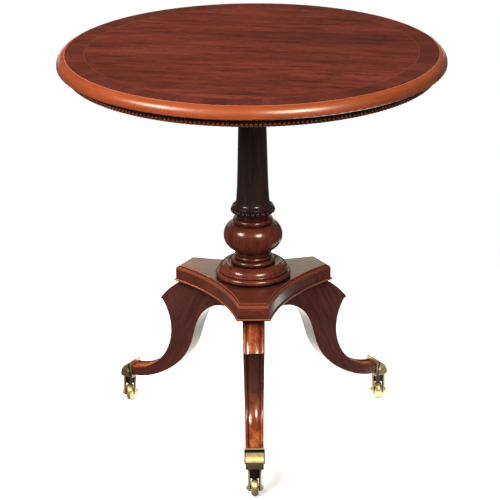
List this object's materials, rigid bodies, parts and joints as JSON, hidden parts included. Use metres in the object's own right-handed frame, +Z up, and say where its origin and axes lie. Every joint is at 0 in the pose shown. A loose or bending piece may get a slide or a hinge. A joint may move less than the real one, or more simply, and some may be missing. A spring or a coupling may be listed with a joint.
{
  "type": "tilt top table",
  "caption": "Round tilt top table: moulded, beaded top hinged on a block over a turned column, triform platform and scrolled legs on brass casters.",
  "frame": {"origin": "on the floor under the column's axis, at the centre of the round top's footprint", "axes": "+Z up along the column; -Y towards the front leg and the side the top tips towards; +X to the right"},
  "size_m": [0.706, 0.706, 0.75],
  "materials": {
    "field_veneer": "french polished mahogany veneer",
    "crossband": "french polished mahogany crossbanding",
    "moulding_wood": "french polished mahogany",
    "turned_wood": "french polished dark mahogany",
    "leg_wood": "french polished mahogany",
    "carcase_wood": "oiled and aged",
    "brass": "antique patina",
    "iron": "blackened"
  },
  "bodies": {
    "stand": {"pivot_block": "carcase_wood", "pivot_pins": "iron", "strike_plate": "brass", "strike_screws": "brass", "column_shaft": "turned_wood", "tenon_wedge": "carcase_wood", "bead_collar": "turned_wood", "column_vase": "turned_wood", "base_plinth": "turned_wood", "platform": "turned_wood", "tie_rod": "iron", "tie_washer": "iron", "tie_nut": "iron", "leg_dowels": "carcase_wood", "cup_screws": "brass", "leg_front": "leg_wood", "caster_cup_front": "brass", "leg_rear_right": "leg_wood", "caster_cup_rear_right": "brass", "leg_rear_left": "leg_wood", "caster_cup_rear_left": "brass"},
    "top": {"field_veneer": "field_veneer", "crossband_veneer": "crossband", "top_panel": "carcase_wood", "rim_moulding": "moulding_wood", "apron_ring": "turned_wood", "bead_moulding": "moulding_wood", "bearer_left": "carcase_wood", "bearer_right": "carcase_wood", "bearer_screws": "iron", "catch_plate": "brass", "catch_screws": "brass"},
    "bolt": {"catch_bolt": "brass", "bolt_knob": "brass"},
    "swivel_front": {"caster_yoke_front": "brass", "caster_axle_front": "brass"},
    "wheel_front": {"caster_wheel_front": "brass"},
    "swivel_rear_right": {"caster_yoke_rear_right": "brass", "caster_axle_rear_right": "brass"},
    "wheel_rear_right": {"caster_wheel_rear_right": "brass"},
    "swivel_rear_left": {"caster_yoke_rear_left": "brass", "caster_axle_rear_left": "brass"},
    "wheel_rear_left": {"caster_wheel_rear_left": "brass"}
  },
  "joints": [
    {"name": "top_tilt", "type": "hinge", "parent": "stand", "child": "top", "pos_m": [0, -0.104, 0.7134], "axis": [1, 0, 0], "range_deg": [0, 90]},
    {"name": "bolt_slide", "type": "slide", "parent": "top", "child": "bolt", "axis": [0, -1, 0], "range_m": [0, 0.008]},
    {"name": "caster_swivel_front", "type": "hinge", "parent": "stand", "child": "swivel_front", "pos_m": [0, -0.283, 0.0521], "axis": [0, 0, 1], "continuous": true},
    {"name": "wheel_roll_front", "type": "hinge", "parent": "swivel_front", "child": "wheel_front", "pos_m": [0, -0.288, 0.016], "axis": [1, 0, 0], "continuous": true},
    {"name": "caster_swivel_rear_right", "type": "hinge", "parent": "stand", "child": "swivel_rear_right", "pos_m": [0.24508, 0.1415, 0.0521], "axis": [0, 0, 1], "continuous": true},
    {"name": "wheel_roll_rear_right", "type": "hinge", "parent": "swivel_rear_right", "child": "wheel_rear_right", "pos_m": [0.24508, 0.1365, 0.016], "axis": [1, 0, 0], "continuous": true},
    {"name": "caster_swivel_rear_left", "type": "hinge", "parent": "stand", "child": "swivel_rear_left", "pos_m": [-0.24508, 0.1415, 0.0521], "axis": [0, 0, 1], "continuous": true},
    {"name": "wheel_roll_rear_left", "type": "hinge", "parent": "swivel_rear_left", "child": "wheel_rear_left", "pos_m": [-0.24508, 0.1365, 0.016], "axis": [1, 0, 0], "continuous": true}
  ]
}
